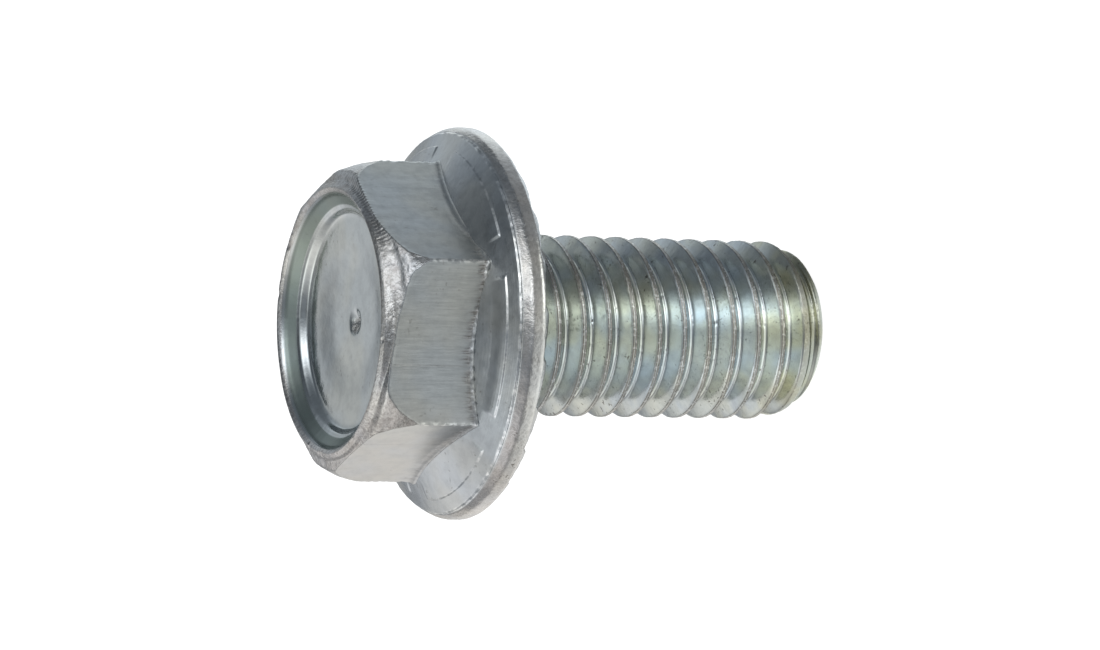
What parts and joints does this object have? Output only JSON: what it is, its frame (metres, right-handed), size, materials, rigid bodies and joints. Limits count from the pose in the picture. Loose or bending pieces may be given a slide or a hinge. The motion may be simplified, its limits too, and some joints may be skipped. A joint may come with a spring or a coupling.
{
  "type": "flange bolt",
  "caption": "Zinc-plated hexagon flange bolt with a recessed head, a serrated flange and a coarse metric thread.",
  "frame": {"origin": "centre of the flat end face of the thread, on which the bolt stands", "axes": "+Z along the bolt's axis, from the threaded end up to the head; two opposite flats of the hexagon face +Y and -Y, and two opposite corners point along +X and -X"},
  "size_m": [0.0212, 0.0212, 0.0279],
  "materials": {
    "zinc_plated_steel": "clear zinc plating over cold-formed steel, satin, slightly blue-grey with faint yellow tints"
  },
  "bodies": {
    "root": {"flange_bolt": "zinc_plated_steel"}
  },
  "joints": []
}
